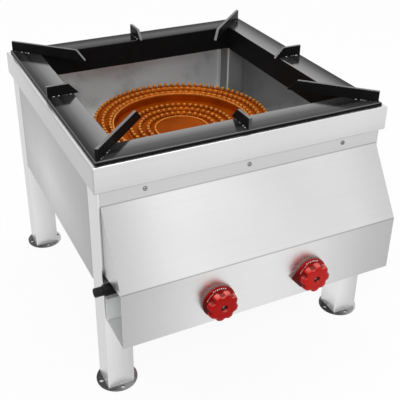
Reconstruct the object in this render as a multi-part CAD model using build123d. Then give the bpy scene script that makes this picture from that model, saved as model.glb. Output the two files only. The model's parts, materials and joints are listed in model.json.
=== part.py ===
from build123d import *
from math import cos, pi, radians, sin, sqrt
import os

# Gas stock pot range with one double-ring burner.
# Millimetres, +Z up, front of the range towards -Y.
# Every piece is drawn about the body's own centre line and is then moved so that
# the origin is the bottom centre of the whole object's box.

# Body
body_width = 600.0
body_depth = 600.0
apron_top = 500.0
apron_height = 50.0
apron_rim = 15.0
sheet = 1.5
sheet_bend = 2.2

# Legs and bolt-down feet
leg_size = 54.0
leg_wall = 1.5
leg_inset = 7.0
foot_diameter = 82.0
foot_thickness = 2.5
foot_rounding = 1.0
foot_hole = 9.0
foot_hole_circle = 66.0

# Side panels
panel_drop = 217.0
panel_return = 15.0
panel_hem = 12.0

# Control box
box_end_inset = 12.0
box_depth = 83.5
box_flange = 28.5
box_slope_drop = 130.0
box_front_height = 118.0
box_upstand = 50.0
box_top_gap = 0.5
cheek_low_rear = 171.5
cheek_low_front = 161.5
screw_pitch = 206.0
screw_below_apron = 12.0
screw_diameter = 5.0
screw_clearance = 0.5

# Pan support
support_inset = 8.0
support_rise = 6.5
support_steel = 2.5
support_wall_depth = 55.0
support_bend = 1.5
support_locating_gap = 0.5
arm_thickness = 6.0
arm_height = 22.0
arm_chamfer = 20.5
corner_arm_reach = 77.0
corner_arm_end = 5.0
mid_arm_reach = 10.5
mid_arm_end = 2.0

# Burner, measured down from the top of the apron
burner_drop = 91.0
ring_depth = 60.0
outer_ring_radius = 191.0
outer_ring_width = 44.0
inner_ring_radius = 117.0
inner_ring_width = 61.0
channel_wall = 4.0
outer_seat_depth = 27.0
inner_seat_depth = 36.0
outer_cap_step = 3.5
outer_row_pitch = 15.9
outer_nub_spacing = 13.9
inner_cap_drop = 19.0
inner_cap_step = 2.0
inner_row_pitch = 18.5
inner_nub_spacing = 13.3
cap_clearance = 0.3
rim_width = 3.5
rim_height = 5.0
row_count = 3
nub_height = 8.0
nub_length = 8.0
nub_share = 0.64
nub_inset = 0.4
nub_corner = 1.6
nub_root = 1.0
nub_draft = 8.0
disc_drop = 28.0
lip_width = 2.0
rail_size = 30.0
rail_thickness = 3.0
post_angle = 75.0
post_diameter = 18.0
spigot_diameter = 8.0
spigot_length = 6.0
post_tail = 6.0
small_gap = 3.0

# Mixing tubes, air shutters and jets
tube_diameter = 34.0
tube_bore = 28.0
mouth_diameter = 48.0
mouth_bore = 42.0
mouth_plate = 4.0
mouth_gap = 13.0
neck_diameter = 24.0
neck_bore = 18.0
window_inner = 9.0
window_outer = 19.0
window_angle = 55.0
shutter_thickness = 1.5
shutter_side_gap = 0.3
running_gap = 0.05
jet_neck = 10.0
jet_hexagon = 17.0
jet_hex_length = 13.5
supply_tube_diameter = 10.0
supply_tube_bore = 8.0
supply_bend = 13.0

# Gas manifold
pipe_diameter = 17.2
pipe_bore = 12.4
pipe_standoff = 19.0
pipe_drop = 240.0
inlet_overhang = 15.0
inlet_length = 29.0
inlet_free_length = 16.0
inlet_root_diameter = 15.8
collar_diameter = 22.0
collar_length = 24.0
bracket_width = 24.0
bracket_height = 46.0
bracket_thickness = 3.0

# Gas cocks and knobs
knob_spacing = 198.0
gas_offset = -4.0
knob_drop = 278.5
cock_diameter = 26.0
cock_boss = 16.0
plug_diameter = 14.0
plug_length = 40.0
spindle_diameter = 8.0
bonnet_thickness = 4.0
spindle_hole = 16.0
knob_diameter = 66.0
knob_gap = 3.0
knob_skirt = 4.0
pointer_reach = 46.0
pointer_turns = {"left": -50.0, "right": 163.0}
knob_wheel = 22.0
knob_waist = 24.0
knob_flare = 46.0
lobe_count = 8
lobe_radius = 31.0
groove_radius = 8.0
groove_centre = 35.0
knob_dome = 85.0
knob_recess = 14.0
knob_recess_depth = 8.0

# Derived positions
half_width = body_width / 2
half_depth = body_depth / 2
apron_bottom = apron_top - apron_height
leg_x = half_width - leg_inset - leg_size / 2
leg_y = half_depth - leg_inset - leg_size / 2
leg_top = apron_top - sheet
face_x = half_width - leg_inset
face_y = half_depth - leg_inset
panel_bottom = apron_bottom - panel_drop
box_half = half_width - box_end_inset
box_sheet_y = -face_y - sheet / 2
box_front_y = box_sheet_y - box_depth
slope_top = apron_bottom - box_flange
slope_foot = slope_top - box_slope_drop
box_bottom = slope_foot - box_front_height
support_top = apron_top + support_rise
wall_in_x = face_x - leg_size - support_locating_gap - support_steel
wall_in_y = face_y - leg_size - support_locating_gap - support_steel
burner_top = apron_top - burner_drop
ring_floor = burner_top - ring_depth
ring_middle = outer_ring_radius - outer_ring_width / 2
outer_seat = burner_top - outer_seat_depth
inner_seat = burner_top - inner_seat_depth
disc_top = burner_top - disc_drop
tube_z = ring_floor - small_gap - tube_diameter / 2
rail_top = tube_z - tube_diameter / 2 - small_gap
post_x = ring_middle * cos(radians(post_angle))
post_y = ring_middle * sin(radians(post_angle))
mouth_y = -face_y - mouth_gap
hex_y = mouth_y - shutter_thickness - 2 * shutter_side_gap
jet_back_y = hex_y - jet_hex_length
pipe_y = -face_y - pipe_standoff
pipe_z = apron_top - pipe_drop
knob_x = knob_spacing / 2
knob_z = apron_top - knob_drop
front_face_y = box_front_y - sheet / 2
bonnet_y = front_face_y + 12.0
cock_front_y = bonnet_y + bonnet_thickness
outlet_y = cock_front_y + 26.0
cock_back_y = pipe_y + 12.0
knob_back_y = front_face_y - knob_gap
knob_front_y = knob_back_y - knob_skirt - knob_wheel
outer_neck_y = -sqrt(ring_middle ** 2 - (knob_x - gas_offset) ** 2)
inner_neck_y = 0.0

# Whole object's box, which sets the origin
left_end = half_width + inlet_overhang
right_end = max(half_width, leg_x + foot_diameter / 2)
rear_end = max(half_depth, leg_y + foot_diameter / 2)
front_end = -knob_front_y - knob_dome + sqrt(knob_dome ** 2 - knob_recess ** 2 / 4)
origin_shift = Pos((left_end - right_end) / 2, (front_end - rear_end) / 2, 0)


def block(x0, x1, y0, y1, z0, z1):
    """Box between two corners."""
    size = Box(x1 - x0, y1 - y0, z1 - z0)
    return Pos((x0 + x1) / 2, (y0 + y1) / 2, (z0 + z1) / 2) * size


def rod_y(radius, x, z, y0, y1):
    """Round bar along Y."""
    bar = Rot(90, 0, 0) * Cylinder(radius, y1 - y0)
    return Pos(x, (y0 + y1) / 2, z) * bar


def rod_x(radius, y, z, x0, x1):
    """Round bar along X."""
    bar = Rot(0, 90, 0) * Cylinder(radius, x1 - x0)
    return Pos((x0 + x1) / 2, y, z) * bar


def rod_z(radius, x, y, z0, z1):
    """Round bar along Z."""
    return Pos(x, y, (z0 + z1) / 2) * Cylinder(radius, z1 - z0)


def cone_y(x, z, y0, r0, y1, r1):
    """Cone along Y with radius r0 at y0 and r1 at y1."""
    outline = Polyline((0, y0), (r0, y0), (r1, y1), (0, y1), close=True)
    return Pos(x, 0, z) * revolve(make_face(outline), Axis.Y)


def hexagon_y(flats, x, z, y0, y1):
    """Hexagonal bar along Y."""
    shape = RegularPolygon(flats / 2, 6, major_radius=False)
    bar = Rot(90, 0, 0) * extrude(shape, (y1 - y0) / 2, both=True)
    return Pos(x, (y0 + y1) / 2, z) * bar


def sheet_section(points, thickness, bend):
    """Section of a folded sheet along its middle line, with rounded folds."""
    return trace(FilletPolyline(*points, radius=bend), line_width=thickness)


def mitred_bar(section, run, reach, depth):
    """Front member of a square frame with its ends cut at 45 degrees."""
    bar = extrude(Plane.YZ * section, run, both=True)
    plan = Polyline(
        (-run, -reach), (run, -reach), (run - depth, depth - reach), (depth - run, depth - reach),
        close=True,
    )
    return bar & extrude(make_face(plan), 2 * apron_top)


def four_sides():
    """Side name, turn about Z, half run and reach of each side of the body."""
    return (
        ("front", 0, half_width, half_depth),
        ("right", 90, half_depth, half_width),
        ("rear", 180, half_width, half_depth),
        ("left", 270, half_depth, half_width),
    )


def four_corners():
    """Corner name and the signs of its X and Y."""
    return (
        ("front_left", -1, -1),
        ("front_right", 1, -1),
        ("rear_left", -1, 1),
        ("rear_right", 1, 1),
    )


def hands():
    """Side name and sign of X of the two knobs and what they feed."""
    return (("left", -1), ("right", 1))


def gas_x(sx):
    """X of one knob, its cock, its jet and its mixing tube."""
    return gas_offset + sx * knob_x


def leg(sx, sy):
    """Square tube leg, from the foot disc up to the apron's rim."""
    outside = RectangleRounded(leg_size, leg_size, leg_wall + 0.5)
    inside = RectangleRounded(leg_size - 2 * leg_wall, leg_size - 2 * leg_wall, 0.5)
    tube = extrude(outside - inside, leg_top - foot_thickness)
    return Pos(sx * leg_x, sy * leg_y, foot_thickness) * tube


def foot(sx, sy):
    """Round foot disc with four bolt holes, one beside each face of the leg."""
    disc = Cylinder(foot_diameter / 2, foot_thickness, align=(Align.CENTER, Align.CENTER, Align.MIN))
    disc = fillet(disc.edges().group_by(Axis.Z)[-1], foot_rounding)
    for spot in PolarLocations(foot_hole_circle / 2, 4):
        disc -= spot * Cylinder(foot_hole / 2, 3 * foot_thickness)
    return Pos(sx * leg_x, sy * leg_y, 0) * disc


def apron():
    """Folded rim all round the body, mitred at its four corners."""
    half = sheet / 2
    ring = None
    for name, turn, run, reach in four_sides():
        points = (
            (leg_inset - reach, apron_bottom + half),
            (half - reach, apron_bottom + half),
            (half - reach, apron_top - half),
            (apron_rim - reach, apron_top - half),
        )
        member = mitred_bar(sheet_section(points, sheet, sheet_bend), run, reach, 2 * apron_rim)
        member = Rot(0, 0, turn) * member
        ring = member if ring is None else ring + member
    return ring


def panel(run, reach):
    """Front-facing panel between two legs, folded back along both legs and hemmed below."""
    half = sheet / 2
    edge = run - leg_inset - leg_size - half
    skin = half - (reach - leg_inset)
    back = panel_return - (reach - leg_inset)
    plan = ((-edge, back), (-edge, skin), (edge, skin), (edge, back))
    body = extrude(sheet_section(plan, sheet, sheet_bend), leg_top - panel_bottom)
    body = Pos(0, 0, panel_bottom) * body
    hem_end = edge - half - sheet_bend
    hem = block(-hem_end, hem_end, skin, skin + panel_hem, panel_bottom, panel_bottom + sheet)
    return body + hem


def front_panel():
    """Panel behind the control box, holed for the mixing tubes, screws and rivets."""
    body = panel(half_width, half_depth)
    through = (-face_y - sheet, -face_y + 3 * sheet)
    for name, sx in hands():
        body -= rod_y(mouth_diameter / 2 + 1, gas_x(sx), tube_z, *through)
    for x, z in flange_spots() + bracket_spots(-1) + bracket_spots(1):
        body -= rod_y(screw_diameter / 2, x, z, *through)
    return body


def box_outline():
    """Middle line of the control box sheet in the YZ plane."""
    return (
        (box_sheet_y, apron_bottom - box_top_gap),
        (box_sheet_y, slope_top),
        (box_front_y, slope_foot),
        (box_front_y, box_bottom),
        (box_sheet_y, box_bottom),
        (box_sheet_y, box_bottom + box_upstand),
    )


def control_box():
    """One folded sheet: screw flange, slope, knob panel, bottom and rear upstand."""
    section = sheet_section(box_outline(), sheet, sheet_bend)
    body = extrude(Plane.YZ * section, box_half, both=True)
    for name, sx in hands():
        body -= rod_y(spindle_hole / 2, gas_x(sx), knob_z, box_front_y - 5, box_front_y + 5)
    hole = (screw_diameter + screw_clearance) / 2
    for x, z in flange_spots():
        body -= rod_y(hole, x, z, box_sheet_y - 5, box_sheet_y + 5)
    return body


def box_cheek(sx, body):
    """Triangular end plate of the sloping part, open below for the gas pipe."""
    outline = Polyline(
        (-face_y - sheet, slope_top),
        (box_front_y, slope_foot),
        (box_front_y, apron_bottom - cheek_low_front),
        (-face_y - sheet, apron_bottom - cheek_low_rear),
        close=True,
    )
    plate = extrude(Plane.YZ * make_face(outline), sheet)
    plate = Pos(box_half - sheet if sx > 0 else -box_half, 0, 0) * plate
    rest = plate - body
    return max(rest.solids(), key=lambda solid: solid.volume)


def flange_spots():
    """Screw centres of the control box's flange."""
    z = apron_bottom - screw_below_apron
    return [(x, z) for x in (-screw_pitch, 0, screw_pitch)]


def bracket_x(sx):
    """X of the bent edge of each manifold bracket."""
    return -body_width / 3 if sx < 0 else bracket_width


def bracket_spots(sx):
    """Screw centres of one manifold bracket."""
    x = bracket_x(sx) + bracket_width - 8
    reach = bracket_height / 2 - 8
    return [(x, pipe_z - reach), (x, pipe_z + reach)]


def screw(x, z, face, length):
    """Round-head screw along Y with its head on the face."""
    head = cone_y(x, z, face - 2.8, screw_diameter / 2, face, 0.9 * screw_diameter)
    return head + rod_y(screw_diameter / 2, x, z, face, face + length)


def panel_screws():
    """Alike screws in the front panel: three in the box's flange, two in each bracket."""
    group = [screw(x, z, box_sheet_y - sheet / 2, 14) for x, z in flange_spots()]
    for x, z in bracket_spots(-1) + bracket_spots(1):
        group.append(screw(x, z, -face_y - bracket_thickness, 14))
    return Compound(group)


def manifold_bracket(sx):
    """Bent strip, screwed to the front panel, that carries the manifold pipe."""
    x = bracket_x(sx)
    z0 = pipe_z - bracket_height / 2
    z1 = pipe_z + bracket_height / 2
    foot_plate = block(x, x + bracket_width, -face_y - bracket_thickness, -face_y, z0, z1)
    wing = block(x, x + bracket_thickness, pipe_y - 16, -face_y, z0 + 5, z1 - 5)
    body = foot_plate + wing
    body -= rod_x(pipe_diameter / 2, pipe_y, pipe_z, x - 5, x + 10)
    hole = (screw_diameter + screw_clearance) / 2
    for rx, rz in bracket_spots(sx):
        body -= rod_y(hole, rx, rz, -face_y - 8, -face_y + 8)
    return body


def tube_x(outer, inner, x0, x1):
    """Length of pipe along the manifold's axis."""
    body = rod_x(outer / 2, pipe_y, pipe_z, x0, x1)
    return body - rod_x(inner / 2, pipe_y, pipe_z, x0 - 1, x1 + 1)


def inlet_nipple():
    """Gas pipe end left of the body: a full-size end and a thinner root in the collar."""
    root = inlet_free_length - left_end
    end = tube_x(pipe_diameter, pipe_bore, -left_end, root)
    end = chamfer(end.edges().filter_by(GeomType.CIRCLE).group_by(Axis.X)[0], 0.8)
    return end + tube_x(inlet_root_diameter, pipe_bore, root, inlet_length - left_end)


def inlet_collar():
    """Pipe coupling that joins the inlet nipple to the manifold."""
    middle = inlet_length - left_end
    start = middle - collar_length / 2
    body = tube_x(collar_diameter, inlet_root_diameter, start, start + collar_length)
    body -= rod_x(pipe_diameter / 2, pipe_y, pipe_z, middle, middle + collar_length)
    ends = body.edges().filter_by(GeomType.CIRCLE)
    rims = [edge for edge in ends if edge.radius > pipe_diameter / 2 + 1]
    return chamfer(rims, 1.0)


def manifold_pipe():
    """Pipe along the front that feeds both gas cocks."""
    body = tube_x(pipe_diameter, pipe_bore, inlet_length - left_end, gas_x(1) + 33)
    for name, sx in hands():
        body -= rod_z(4, gas_x(sx), pipe_y, pipe_z - pipe_diameter, pipe_z)
    return body


def manifold_plug():
    """Hexagonal plug that closes the right end of the manifold."""
    end = gas_x(1) + 33
    shape = RegularPolygon(12, 6, major_radius=False)
    head = Pos(end, pipe_y, pipe_z) * (Rot(0, 90, 0) * extrude(shape, 8))
    return head + rod_x(pipe_bore / 2, pipe_y, pipe_z, end - 12, end)


def cock_body(sx):
    """Plug cock hung under the manifold: barrel, inlet boss and outlet boss."""
    x = gas_x(sx)
    body = rod_y(cock_diameter / 2, x, knob_z, cock_front_y, cock_back_y)
    body += rod_z(cock_boss / 2, x, pipe_y, knob_z, pipe_z)
    body += rod_z(cock_boss / 2, x, outlet_y, knob_z, knob_z + 21)
    body -= rod_x(pipe_diameter / 2, pipe_y, pipe_z, x - 30, x + 30)
    bore = plug_diameter / 2 + running_gap
    body -= rod_y(bore, x, knob_z, cock_front_y - 1, cock_front_y + plug_length + 0.3)
    body -= rod_y(4, x, knob_z, cock_front_y, pipe_y)
    body -= rod_z(4, x, pipe_y, knob_z, pipe_z)
    body -= rod_z(4, x, outlet_y, knob_z, knob_z + 30)
    return body


def cock_bonnet(sx):
    """Round cover that keeps the plug in the cock."""
    x = gas_x(sx)
    body = rod_y(cock_diameter / 2, x, knob_z, bonnet_y, cock_front_y)
    bore = spindle_diameter / 2 + running_gap
    return body - rod_y(bore, x, knob_z, bonnet_y - 1, cock_front_y + 1)


def spindle(sx):
    """Ported plug with the spindle that carries the knob."""
    x = gas_x(sx)
    start = cock_front_y + 0.2
    body = rod_y(plug_diameter / 2, x, knob_z, start, start + plug_length - 0.2)
    body += rod_y(spindle_diameter / 2, x, knob_z, knob_front_y + knob_recess_depth, start)
    body -= rod_y(3, x, knob_z, outlet_y, start + plug_length + 1)
    body -= rod_x(3, outlet_y, knob_z, x, x + plug_diameter)
    return body - rod_y(2, x, knob_z, knob_front_y, knob_front_y + 20)


def skirt_outline():
    """Round skirt with one pointed tab along +X."""
    radius = knob_diameter / 2
    touch_x = radius ** 2 / pointer_reach
    touch_y = sqrt(radius ** 2 - touch_x ** 2)
    tab = Polyline((0, 0), (touch_x, -touch_y), (pointer_reach, 0), (touch_x, touch_y), close=True)
    return Circle(radius) + make_face(tab)


def knob(name, sx):
    """Lobed handwheel, waisted at its skirt, with a domed face and a recessed hub."""
    x = gas_x(sx)
    wheel = Circle(lobe_radius)
    for spot in PolarLocations(groove_centre, lobe_count, start_angle=22.5):
        wheel -= spot * Circle(groove_radius)
    wheel = fillet(wheel.vertices(), 1.8)
    grip = extrude(wheel, knob_wheel)
    grip &= Pos(0, 0, knob_wheel - knob_dome) * Sphere(knob_dome)
    waist = (Align.CENTER, Align.CENTER, Align.MIN)
    grip &= Cone(knob_waist, knob_flare, knob_wheel, align=waist)
    grip -= Pos(0, 0, knob_wheel) * Cylinder(knob_recess / 2, 2 * knob_recess_depth)
    skirt = Pos(0, 0, -knob_skirt) * extrude(skirt_outline(), knob_skirt)
    skirt = Rot(0, 0, pointer_turns[name]) * chamfer(skirt.edges().group_by(Axis.Z)[-1], 1.5)
    body = skirt + grip
    body -= Cylinder(spindle_diameter / 2, 60)
    body = Pos(x, knob_back_y - knob_skirt, knob_z) * (Rot(90, 0, 0) * body)
    return body


def knob_screw(sx):
    """Screw in the hub that holds the knob on its spindle."""
    x = gas_x(sx)
    face = knob_front_y + knob_recess_depth
    head = rod_y(5.5, x, knob_z, face - 3, face)
    head -= block(x - 6, x + 6, face - 4, face - 2, knob_z - 0.6, knob_z + 0.6)
    return head + rod_y(2, x, knob_z, face, face + 10)


def supply_tube(sx):
    """Bent tube from the cock's outlet up to the jet."""
    x = gas_x(sx)
    rise = tube_z - knob_z - 21
    path = FilletPolyline((0, 0), (0, rise), (jet_back_y - outlet_y, rise), radius=supply_bend)
    path = Pos(x, outlet_y, knob_z + 21) * (Plane.YZ * path)
    ring = Circle(supply_tube_diameter / 2) - Circle(supply_tube_bore / 2)
    return sweep(Pos(x, outlet_y, knob_z + 21) * ring, path=path)


def jet(sx):
    """Brass jet: hexagon, neck through the shutter and mouth plate, and nozzle."""
    x = gas_x(sx)
    body = hexagon_y(jet_hexagon, x, tube_z, jet_back_y, hex_y)
    tip_y = mouth_y + mouth_plate + 9
    body += rod_y(jet_neck / 2, x, tube_z, hex_y, mouth_y + mouth_plate)
    body += cone_y(x, tube_z, mouth_y + mouth_plate, jet_neck / 2, tip_y, 2.5)
    body -= rod_y(3, x, tube_z, jet_back_y - 1, mouth_y + mouth_plate)
    return body - rod_y(1, x, tube_z, mouth_y, tip_y + 1)


def windows():
    """Three air windows about the jet, drawn in a plane square to it."""
    ring = Circle(window_outer) - Circle(window_inner)
    group = None
    for turn in (90, 210, 330):
        start = radians(turn - window_angle / 2)
        end = radians(turn + window_angle / 2)
        far = 3 * window_outer
        wedge = Polyline(
            (0, 0), (far * cos(start), far * sin(start)), (far * cos(end), far * sin(end)), close=True
        )
        piece = ring & make_face(wedge)
        group = piece if group is None else group + piece
    return group


def air_shutter(sx):
    """Disc that turns on the jet's neck in front of the mouth's windows."""
    bore = jet_neck / 2 + running_gap
    disc = Circle(mouth_diameter / 2 - 1) - Circle(bore) - windows()
    plate = extrude(disc, shutter_thickness)
    tab = Pos(0, mouth_diameter / 2 + 3, shutter_thickness / 2) * Box(8, 10, shutter_thickness)
    plate = Rot(90, 0, 0) * (plate + tab)
    return Pos(gas_x(sx), mouth_y - shutter_side_gap, tube_z) * plate


def mixing_tube(sx):
    """Cast venturi from its windowed mouth to the neck under its burner ring."""
    x = gas_x(sx)
    neck_y = outer_neck_y if sx < 0 else inner_neck_y
    bell = mouth_y + mouth_plate
    throat = bell + 40
    end = neck_y + tube_diameter / 2
    body = rod_y(mouth_diameter / 2, x, tube_z, mouth_y, bell + 8)
    body += cone_y(x, tube_z, bell + 8, mouth_diameter / 2, throat, tube_diameter / 2)
    body += rod_y(tube_diameter / 2, x, tube_z, throat, end)
    body += rod_z(neck_diameter / 2, x, neck_y, tube_z, ring_floor)
    body -= rod_y(mouth_bore / 2, x, tube_z, bell, bell + 8)
    body -= cone_y(x, tube_z, bell + 8, mouth_bore / 2, throat, tube_bore / 2)
    body -= rod_y(tube_bore / 2, x, tube_z, throat, end - 3)
    body -= rod_z(neck_bore / 2, x, neck_y, tube_z, ring_floor + 1)
    body -= rod_y(jet_neck / 2, x, tube_z, mouth_y - 1, bell + 1)
    air = Rot(90, 0, 0) * extrude(windows(), mouth_plate + 1, both=True)
    return body - Pos(x, mouth_y, tube_z) * air


def outer_casting():
    """Outer gas channel with an inward web, and blind sockets for the four posts."""
    w = channel_wall
    r1 = outer_ring_radius
    r0 = r1 - outer_ring_width
    bore = inner_ring_radius + cap_clearance
    outline = Polyline(
        (r0, ring_floor), (r1, ring_floor), (r1, outer_seat), (r1 - w, outer_seat),
        (r1 - w, ring_floor + w), (r0 + w, ring_floor + w), (r0 + w, outer_seat),
        (bore, outer_seat), (bore, outer_seat - w), (r0, outer_seat - w),
        close=True,
    )
    body = revolve(Plane.XZ * make_face(outline), Axis.Z)
    socket = spigot_diameter / 2 + cap_clearance
    for x, y in post_spots():
        body += rod_z(socket + w, x, y, ring_floor + w / 2, ring_floor + spigot_length + w)
        body -= rod_z(socket, x, y, ring_floor - w, ring_floor + spigot_length + cap_clearance)
    return body - rod_z(neck_bore / 2, gas_x(-1), outer_neck_y, ring_floor - w, ring_floor + 2 * w)


def inner_casting():
    """Inner gas channel hung by its lip in the web, with the flat centre disc."""
    w = channel_wall
    r1 = inner_ring_radius
    r0 = r1 - inner_ring_width
    lip = outer_seat + lip_width
    outline = Polyline(
        (0, disc_top - w), (r0 - w, disc_top - w), (r0 - w, ring_floor), (r1, ring_floor),
        (r1, outer_seat), (r1 + w, outer_seat), (r1 + w, lip), (r1 - w / 2, lip),
        (r1 - w / 2, inner_seat), (r1 - w, inner_seat), (r1 - w, ring_floor + w),
        (r0 + w, ring_floor + w), (r0 + w, inner_seat), (r0, inner_seat), (r0, disc_top),
        (0, disc_top),
        close=True,
    )
    body = revolve(Plane.XZ * make_face(outline), Axis.Z)
    return body - rod_z(neck_bore / 2, gas_x(1), inner_neck_y, ring_floor - w, ring_floor + 2 * w)


def nub_ring(middle, spacing, low):
    """One row of alike tapered nubs with cut corners, sunk into the land at height low."""
    count = round(2 * pi * middle / spacing)
    width = nub_share * 2 * pi * middle / count
    outline = Rectangle(nub_length, width)
    outline = chamfer(outline.vertices(), nub_corner)
    nub = extrude(outline, nub_height + nub_root, taper=nub_draft)
    return [spot * nub for spot in Pos(0, 0, low - nub_root) * PolarLocations(middle, count)]


def burner_cap(radius, width, seat, top, step, pitch, spacing):
    """Ring cap with rows of nubs on lands that step down by slopes to its raised inner rim."""
    inner = radius - width
    land = nub_length + 2 * nub_inset
    outline = [(inner, seat), (radius, seat)]
    nubs = []
    for k in range(row_count):
        edge = radius - k * pitch
        low = top - nub_height - k * step
        last = k == row_count - 1
        outline += [(edge, low), (inner + rim_width if last else edge - land, low)]
        nubs += nub_ring(edge - land / 2, spacing, low)
    outline += [(inner + rim_width, low + rim_height), (inner, low + rim_height)]
    body = revolve(Plane.XZ * make_face(Polyline(*outline, close=True)), Axis.Z)
    return body + nubs


def post_spots():
    """Centres of the four posts, under the middle of the outer channel."""
    return [(sx * post_x, sy * post_y) for name, sx, sy in four_corners()]


def burner_rail(sy):
    """Angle from the left panel to the right panel, with two holes for the posts."""
    run = face_x - sheet
    half = rail_size / 2
    y = sy * post_y
    web_y = y + sy * (half - rail_thickness / 2)
    half_web = rail_thickness / 2
    body = block(-run, run, y - half, y + half, rail_top - rail_thickness, rail_top)
    body += block(-run, run, web_y - half_web, web_y + half_web, rail_top - rail_size, rail_top)
    for x in (-post_x, post_x):
        body -= rod_z(post_tail / 2, x, y, rail_top - rail_size, rail_top + 1)
    return body


def burner_posts():
    """Four shouldered posts, riveted into the rails, that the outer channel sits on."""
    group = []
    under = rail_top - rail_thickness
    for x, y in post_spots():
        post = rod_z(post_diameter / 2, x, y, rail_top, ring_floor)
        post += rod_z(spigot_diameter / 2, x, y, ring_floor, ring_floor + spigot_length)
        post += rod_z(post_tail / 2, x, y, under, rail_top)
        post += rod_z(0.9 * post_tail, x, y, under - 2, under)
        group.append(post)
    return Compound(group)


def support_rail(run, reach, wall_in):
    """Front member of the pan support: outer lip, flat top and deep inner wall."""
    half = support_steel / 2
    lip = support_inset + half - reach
    wall = -wall_in - half
    points = (
        (lip, apron_top),
        (lip, support_top - half),
        (wall, support_top - half),
        (wall, support_top - support_wall_depth),
    )
    section = sheet_section(points, support_steel, support_bend + 0.2)
    depth = reach - support_inset - wall_in
    return mitred_bar(section, run - support_inset, reach - support_inset, depth)


def arm(inner, outer):
    """Bar on edge along +X, with its inner end cut at a slant down to a point."""
    outline = Polyline(
        (inner, 0), (inner + arm_chamfer, arm_height), (outer, arm_height), (outer, 0), close=True
    )
    bar = extrude(Plane.XZ * make_face(outline), arm_thickness / 2, both=True)
    return Pos(0, 0, support_top) * bar


def corner_arm(sx, sy):
    """Long arm on one corner of the pan support, pointing at the centre."""
    tip = min(wall_in_x, wall_in_y) - corner_arm_reach
    end = min(half_width, half_depth) - support_inset - corner_arm_end
    bar = arm(0, (end - tip) * sqrt(2))
    turn = {(1, 1): 45, (-1, 1): 135, (-1, -1): 225, (1, -1): 315}[(sx, sy)]
    dx = sx * (wall_in_x - corner_arm_reach)
    dy = sy * (wall_in_y - corner_arm_reach)
    return Pos(dx, dy, 0) * (Rot(0, 0, turn) * bar)


def mid_arm(turn, reach, wall_in):
    """Short arm on the middle of one side of the pan support."""
    bar = arm(wall_in - mid_arm_reach, reach - support_inset - mid_arm_end)
    return Rot(0, 0, turn - 90) * bar


def all_parts():
    """Every piece by its node name."""
    parts = {}
    for name, sx, sy in four_corners():
        parts["leg_" + name] = leg(sx, sy)
        parts["foot_" + name] = foot(sx, sy)
        parts["support_arm_" + name] = corner_arm(sx, sy)
    for name, turn, run, reach in four_sides():
        body = front_panel() if name == "front" else panel(run, reach)
        wall_in = wall_in_y if name in ("front", "rear") else wall_in_x
        parts["panel_" + name] = Rot(0, 0, turn) * body
        parts["support_rail_" + name] = Rot(0, 0, turn) * support_rail(run, reach, wall_in)
        parts["support_arm_" + name] = mid_arm(turn, reach, wall_in)
    parts["apron"] = apron()
    parts["control_box"] = control_box()
    parts["panel_screws"] = panel_screws()
    parts["manifold_pipe"] = manifold_pipe()
    parts["manifold_plug"] = manifold_plug()
    parts["inlet_nipple"] = inlet_nipple()
    parts["inlet_collar"] = inlet_collar()
    for name, sx in hands():
        parts["box_cheek_" + name] = box_cheek(sx, parts["control_box"])
        parts["manifold_bracket_" + name] = manifold_bracket(sx)
        parts["cock_body_" + name] = cock_body(sx)
        parts["cock_bonnet_" + name] = cock_bonnet(sx)
        parts["spindle_" + name] = spindle(sx)
        parts["knob_" + name] = knob(name, sx)
        parts["knob_screw_" + name] = knob_screw(sx)
        parts["supply_tube_" + name] = supply_tube(sx)
        parts["jet_" + name] = jet(sx)
        parts["air_shutter_" + name] = air_shutter(sx)
        parts["mixing_tube_" + name] = mixing_tube(sx)
    parts["burner_rail_front"] = burner_rail(-1)
    parts["burner_rail_rear"] = burner_rail(1)
    parts["burner_posts"] = burner_posts()
    parts["burner_casting_outer"] = outer_casting()
    parts["burner_casting_inner"] = inner_casting()
    parts["burner_cap_outer"] = burner_cap(
        outer_ring_radius, outer_ring_width, outer_seat,
        burner_top, outer_cap_step, outer_row_pitch, outer_nub_spacing,
    )
    ledge = channel_wall / 2 + cap_clearance
    parts["burner_cap_inner"] = burner_cap(
        inner_ring_radius - ledge, inner_ring_width - ledge - cap_clearance, inner_seat,
        burner_top - inner_cap_drop, inner_cap_step, inner_row_pitch, inner_nub_spacing,
    )
    return parts


def main():
    os.makedirs("parts", exist_ok=True)
    for name, body in all_parts().items():
        export_step(origin_shift * body, "parts/" + name + ".step")


main()
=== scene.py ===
import bpy
import bmesh
import json
import random
from math import acos, cos, degrees, pi, radians, sin
from mathutils import Matrix, Vector


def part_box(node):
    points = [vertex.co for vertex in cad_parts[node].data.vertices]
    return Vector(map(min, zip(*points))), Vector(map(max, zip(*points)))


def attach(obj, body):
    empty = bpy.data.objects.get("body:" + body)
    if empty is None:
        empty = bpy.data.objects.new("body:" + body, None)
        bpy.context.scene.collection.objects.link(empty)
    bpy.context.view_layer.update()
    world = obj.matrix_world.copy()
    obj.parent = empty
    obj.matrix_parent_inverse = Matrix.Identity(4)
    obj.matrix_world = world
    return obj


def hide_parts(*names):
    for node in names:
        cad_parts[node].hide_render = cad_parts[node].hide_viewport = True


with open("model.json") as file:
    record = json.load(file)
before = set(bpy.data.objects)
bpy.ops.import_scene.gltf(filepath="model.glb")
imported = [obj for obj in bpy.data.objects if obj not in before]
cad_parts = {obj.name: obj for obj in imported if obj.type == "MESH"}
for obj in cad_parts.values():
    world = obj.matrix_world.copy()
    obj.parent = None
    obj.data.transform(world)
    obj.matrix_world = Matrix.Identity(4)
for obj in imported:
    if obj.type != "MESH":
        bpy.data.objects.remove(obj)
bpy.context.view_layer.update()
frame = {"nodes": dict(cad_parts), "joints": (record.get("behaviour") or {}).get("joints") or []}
scene = bpy.context.scene


# ------------------------------------------------------------------- places

def centre_line():
    """Foot of the body's upright centre line, which is the apron's."""
    low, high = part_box("apron")
    return Vector(((low.x + high.x) / 2, (low.y + high.y) / 2, 0.0))


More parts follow.
